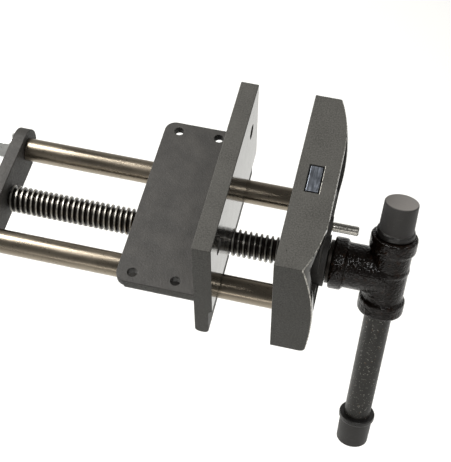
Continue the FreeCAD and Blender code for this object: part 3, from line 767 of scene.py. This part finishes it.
class VISE_OT_thumb_screw(bpy.types.Operator):
    """Thumb screw: a fine thread inside the jaw and a long diamond-knurled head"""
    bl_idname = "vise.thumb_screw"
    bl_label = "Thumb Screw"

    def execute(self, context):
        sizes = context.scene.vise_sizes
        low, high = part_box("dog_lock_screw")
        line = Vector((0, 0, middle("dog_lock_screw").z))
        radius = half_height("dog_lock_screw")
        knurl_start = FRONT_BOSS_X + 1.2 * MM
        bm = bmesh.new()
        thread(bm, line, low.x, knurl_start + 0.2 * MM, radius, radius - 0.7 * MM, 1.25 * MM, 28,
               crest_share=0.14, flank=0.38)
        around = 2 * round(math.pi * radius / sizes.knurl_pitch)
        rings = round((high.x - knurl_start - 0.8 * MM) / (sizes.knurl_pitch / 2))
        depth = 0.55 * MM
        place = Matrix.Translation(line + X_AXIS * knurl_start) @ Matrix.Rotation(math.pi / 2, 4, "Y")
        before = set(bm.faces)
        first = bmesh.ops.create_circle(bm, cap_ends=True, segments=around, radius=radius,
                                        matrix=place)["verts"]
        loop = list({e for v in first for e in v.link_edges})
        step = (high.x - 0.8 * MM - knurl_start) / rings
        for ring in range(1, rings + 1):
            grown = bmesh.ops.extrude_edge_only(bm, edges=loop)["geom"]
            verts = [item for item in grown if isinstance(item, bmesh.types.BMVert)]
            loop = [item for item in grown if isinstance(item, bmesh.types.BMEdge)]
            bmesh.ops.translate(bm, verts=verts, vec=(step, 0, 0))
            for vert in verts:
                out = Vector((0, vert.co.y, vert.co.z)) - line
                turn = round(math.atan2(out.z, out.y) / math.tau * around)
                sunk = depth if (turn + ring) % 2 else 0.0
                vert.co = Vector((vert.co.x, 0, 0)) + line + out.normalized() * (radius - sunk)
        end = bmesh.ops.extrude_edge_only(bm, edges=loop)["geom"]
        rim = [item for item in end if isinstance(item, bmesh.types.BMVert)]
        for vert in rim:
            out = Vector((0, vert.co.y, vert.co.z)) - line
            vert.co = Vector((high.x, 0, 0)) + line + out.normalized() * (radius - 1.2 * MM)
        bmesh.ops.holes_fill(bm, edges=[item for item in end if isinstance(item, bmesh.types.BMEdge)],
                             sides=0)
        bmesh.ops.recalc_face_normals(bm, faces=[f for f in bm.faces if f not in before])
        piece = finish_piece("thumb_screw_knurled", bm, "lock_screw", ["dog_lock_screw"], "bright_steel",
                             ["bright"], sharp=25.0)
        check(piece)
        return {"FINISHED"}


class VISE_OT_small_pieces(bpy.types.Operator):
    """Dog, nut, tie bar, bushes, washers, collars, nuts and bolts with their edges broken; pins, tail ring
    and set screw repainted
    """
    bl_idname = "vise.small_pieces"
    bl_label = "Dog and Fittings"

    def execute(self, context):
        sizes = context.scene.vise_sizes
        fittings = [
            ("dog", "bench_dog", "dog_steel", "dog", 0.25 * MM),
            ("screw_nut", "rear_frame", "bronze", "bronze", sizes.fitting_edge),
            ("nut_washers", "rear_frame", "zinc_steel", "zinc", 0.15 * MM),
            ("nut_bolts", "rear_frame", "black_steel", "black", 0.2 * MM),
            ("rear_tie_bar", CARRIAGE, "jaw_iron", "cast", sizes.casting_edge),
            ("tie_washers", CARRIAGE, "zinc_steel", "zinc", 0.25 * MM),
            ("tie_nuts", CARRIAGE, "zinc_steel", "zinc", 0.15 * MM),
            ("thrust_washer", "screw", "black_steel", "black", sizes.fitting_edge),
            ("thrust_collar", "screw", "black_steel", "black", sizes.fitting_edge),
            ("upper_handle_bush", "screw", "bush_plastic", "nylon", sizes.fitting_edge),
            ("lower_handle_bush", "screw", "bush_plastic", "nylon", sizes.fitting_edge),
        ]
        for node, body, slot, finish, width in fittings:
            check(eased(node, body, slot, [finish], width))
        for node, finish in (("rod_lock_pins", "bright"), ("collar_pin", "bright"),
                             ("screw_tail_ring", "black"), ("hub_set_screw", "black"),
                             ("dog_pressure_pin", "bronze")):
            repaint(node, finish)
        return {"FINISHED"}


class VISE_OT_stage(bpy.types.Operator):
    """Pale floor, soft studio lights and the camera"""
    bl_idname = "vise.stage"
    bl_label = "Stage"

    def execute(self, context):
        floor_depth = 0.85
        bm = bmesh.new()
        bmesh.ops.create_grid(bm, x_segments=1, y_segments=1, size=6.0)
        bmesh.ops.translate(bm, verts=bm.verts, vec=(0, 0, -floor_depth))
        mesh = bpy.data.meshes.new("floor")
        bm.to_mesh(mesh)
        bm.free()
        floor = bpy.data.objects.new("floor", mesh)
        context.collection.objects.link(floor)
        mesh.materials.append(finish_named("floor"))

        world = bpy.data.worlds.new("studio")
        context.scene.world = world
        world.use_nodes = True
        sky = world.node_tree
        facing = add(sky, "ShaderNodeTexCoord").outputs["Generated"]
        upward = add(sky, "ShaderNodeSeparateXYZ", {0: facing}).outputs[2]
        background = sky.nodes["Background"]
        background.inputs["Color"].default_value = (1.0, 0.99, 0.97, 1.0)
        sky.links.new(spread(sky, upward, 0.0, 0.7, 0.5, 0.12), background.inputs["Strength"])

        target = Vector((0.06, 0, -0.08))
        lights = [("key", (-1.2, 0.4, 1.4), (1.0, 1.0), 64.0, (1.0, 0.99, 0.97)),
                  ("spark", (0.5, -0.5, 1.3), (0.12, 0.3), 6.0, (1.0, 1.0, 1.0)),
                  ("side", (1.4, 0.7, 0.9), (0.15, 0.15), 2.0, (1.0, 1.0, 1.0)),
                  ("strip", (0.1, -1.3, -0.05), (1.2, 0.12), 1.7, (1.0, 0.97, 0.93))]
        for name, spot, size, power, colour in lights:
            lamp = bpy.data.lights.new(name, "AREA")
            lamp.shape = "RECTANGLE"
            lamp.size, lamp.size_y = size
            lamp.energy = power
            lamp.color = colour
            light = bpy.data.objects.new(name, lamp)
            light.location = spot
            light.rotation_euler = (target - Vector(spot)).to_track_quat("-Z", "Y").to_euler()
            context.collection.objects.link(light)

        lens = bpy.data.cameras.new("camera")
        lens.sensor_width = 36.0
        lens.lens = 82.36
        camera = bpy.data.objects.new("camera", lens)
        camera.location = (0.1291, -0.5158, 0.6978)
        camera.rotation_euler = (math.radians(33.48), 0.0, math.radians(13.33))
        context.collection.objects.link(camera)
        context.scene.camera = camera
        context.scene.view_settings.view_transform = "Standard"
        return {"FINISHED"}


OPERATORS = (VISE_OT_rear_jaw, VISE_OT_front_jaw, VISE_OT_guide_rods, VISE_OT_lead_screw, VISE_OT_tee,
             VISE_OT_handle, VISE_OT_thumb_screw, VISE_OT_small_pieces, VISE_OT_stage)


class VISE_PT_panel(bpy.types.Panel):
    """The vise's pieces in the 3D view's sidebar"""
    bl_idname = "VISE_PT_panel"
    bl_label = "Bench Vise"
    bl_space_type = "VIEW_3D"
    bl_region_type = "UI"
    bl_category = "Bench Vise"

    def draw(self, context):
        for operator in OPERATORS:
            self.layout.operator(operator.bl_idname)
        for group in (context.scene.vise_sizes, context.scene.vise_colours):
            column = self.layout.column()
            for name in group.__annotations__:
                column.prop(group, name)


CLASSES = (VISE_PG_sizes, VISE_PG_colours, *OPERATORS, VISE_PT_panel)


def register():
    """Registers the classes and hangs the settings on the scene."""
    for cls in CLASSES:
        bpy.utils.register_class(cls)
    bpy.types.Scene.vise_sizes = PointerProperty(type=VISE_PG_sizes)
    bpy.types.Scene.vise_colours = PointerProperty(type=VISE_PG_colours)


def unregister():
    """Takes the settings and the classes away again."""
    del bpy.types.Scene.vise_colours
    del bpy.types.Scene.vise_sizes
    for cls in reversed(CLASSES):
        bpy.utils.unregister_class(cls)


def main():
    """Builds every piece and the stage."""
    register()
    for operator in OPERATORS:
        group, name = operator.bl_idname.split(".")
        getattr(getattr(bpy.ops, group), name)()


if __name__ == "__main__":
    main()
